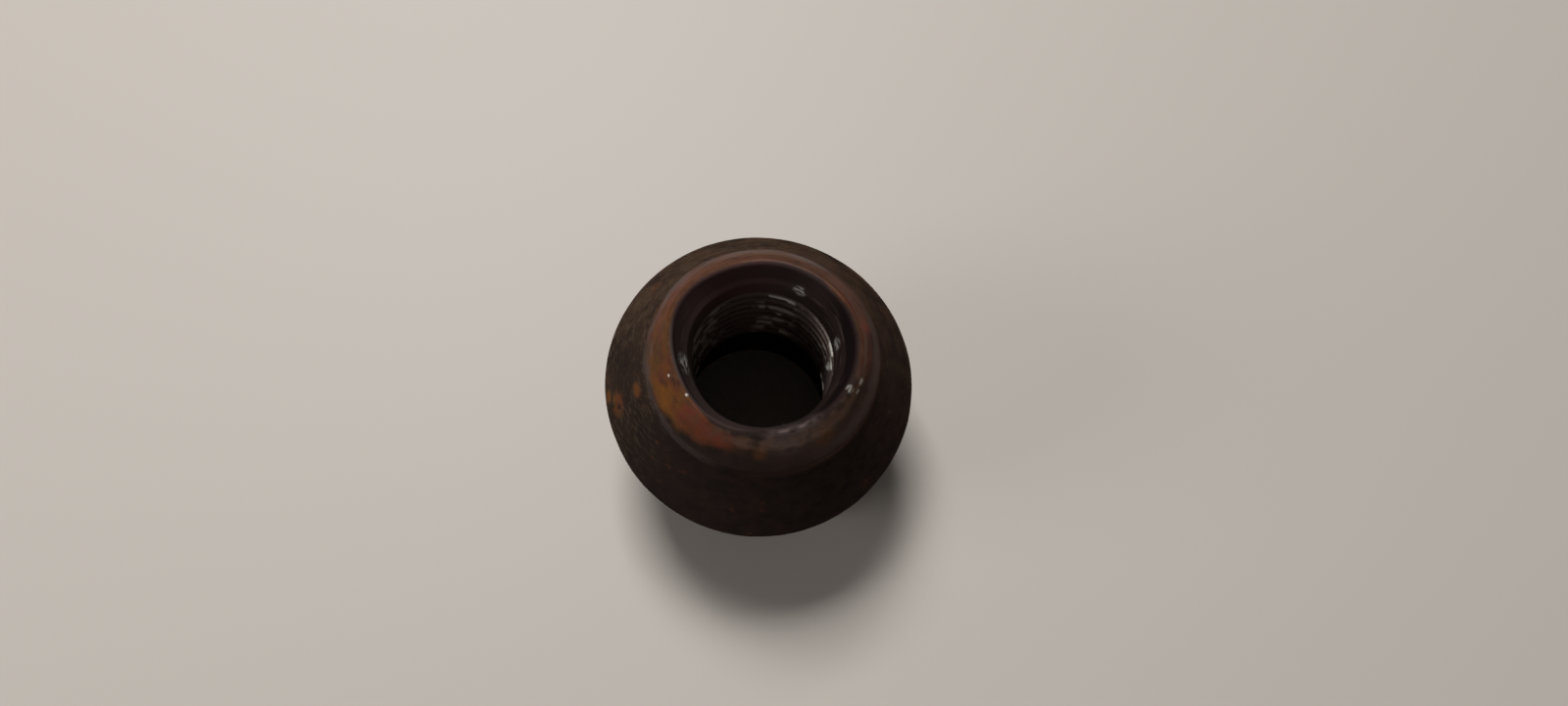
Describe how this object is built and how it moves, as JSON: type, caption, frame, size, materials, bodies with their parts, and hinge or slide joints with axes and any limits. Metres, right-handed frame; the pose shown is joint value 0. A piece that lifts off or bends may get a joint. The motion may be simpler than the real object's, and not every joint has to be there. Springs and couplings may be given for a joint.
{
  "type": "lug nut",
  "caption": "Open-ended wheel lug nut: a conical seat and a short nose with a wide mouth, on a hexagonal wrenching end, with a threaded bore right through; rusted.",
  "frame": {"origin": "centre of the hex end face, which is what the nut stands on", "axes": "+Z along the bore from the hex end to the nose; +X through one corner of the hex"},
  "size_m": [0.0284, 0.0284, 0.0254],
  "materials": {
    "rusted_steel": "dark brown patina, orange rust on the nose, bare metal on worn edges and thread crests"
  },
  "bodies": {
    "root": {"lug_nut": "rusted_steel"}
  },
  "joints": []
}
